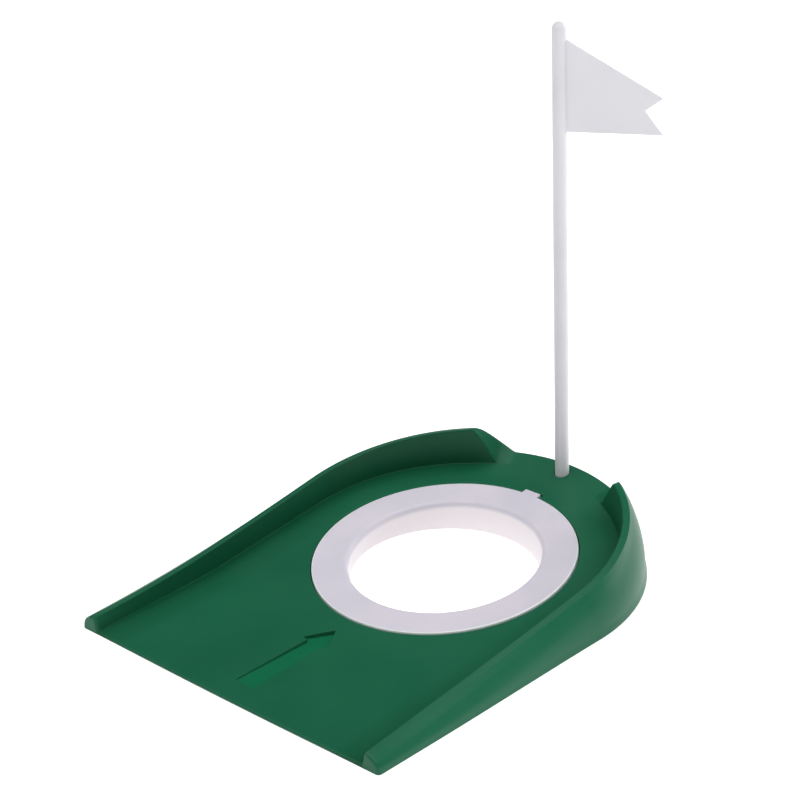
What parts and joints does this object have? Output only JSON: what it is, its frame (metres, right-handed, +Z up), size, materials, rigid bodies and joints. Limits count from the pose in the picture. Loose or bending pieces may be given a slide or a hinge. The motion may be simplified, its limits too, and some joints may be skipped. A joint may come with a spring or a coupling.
{
  "type": "putting cup",
  "caption": "Indoor putting cup: ramped tray with raised side walls, a hole, a removable ring that narrows it, and a lift-out flagstick with a swallow-tailed flag.",
  "frame": {"origin": "bottom centre of the whole object's box at rest, on the floor", "axes": "+Z up; +Y from the tray's front edge, where the ball rolls on, to the flagstick; +X to the right of a player who putts towards the flag"},
  "size_m": [0.174, 0.2352, 0.2308],
  "materials": {
    "tray_green": "satin moulded plastic with a fine grain",
    "ring_white": "milky satin plastic",
    "flagstick_white": "milky satin plastic",
    "flag_white": "smooth plastic plate"
  },
  "bodies": {
    "tray": {"tray": "tray_green"},
    "hole_ring": {"hole_ring": "ring_white"},
    "flagstick": {"flagstick": "flagstick_white"},
    "flag": {"flag": "flag_white"}
  },
  "joints": [
    {"name": "ring_lift", "type": "slide", "parent": "tray", "child": "hole_ring", "axis": [0, -0.0995, 0.995], "range_m": [0, 0.04]},
    {"name": "flagstick_lift", "type": "slide", "parent": "tray", "child": "flagstick", "axis": [0, 0, 1], "range_m": [0, 0.03]},
    {"name": "flag_turn", "type": "hinge", "parent": "flagstick", "child": "flag", "pos_m": [0, 0.09317, 0.2], "axis": [0, 0, 1], "continuous": true}
  ]
}
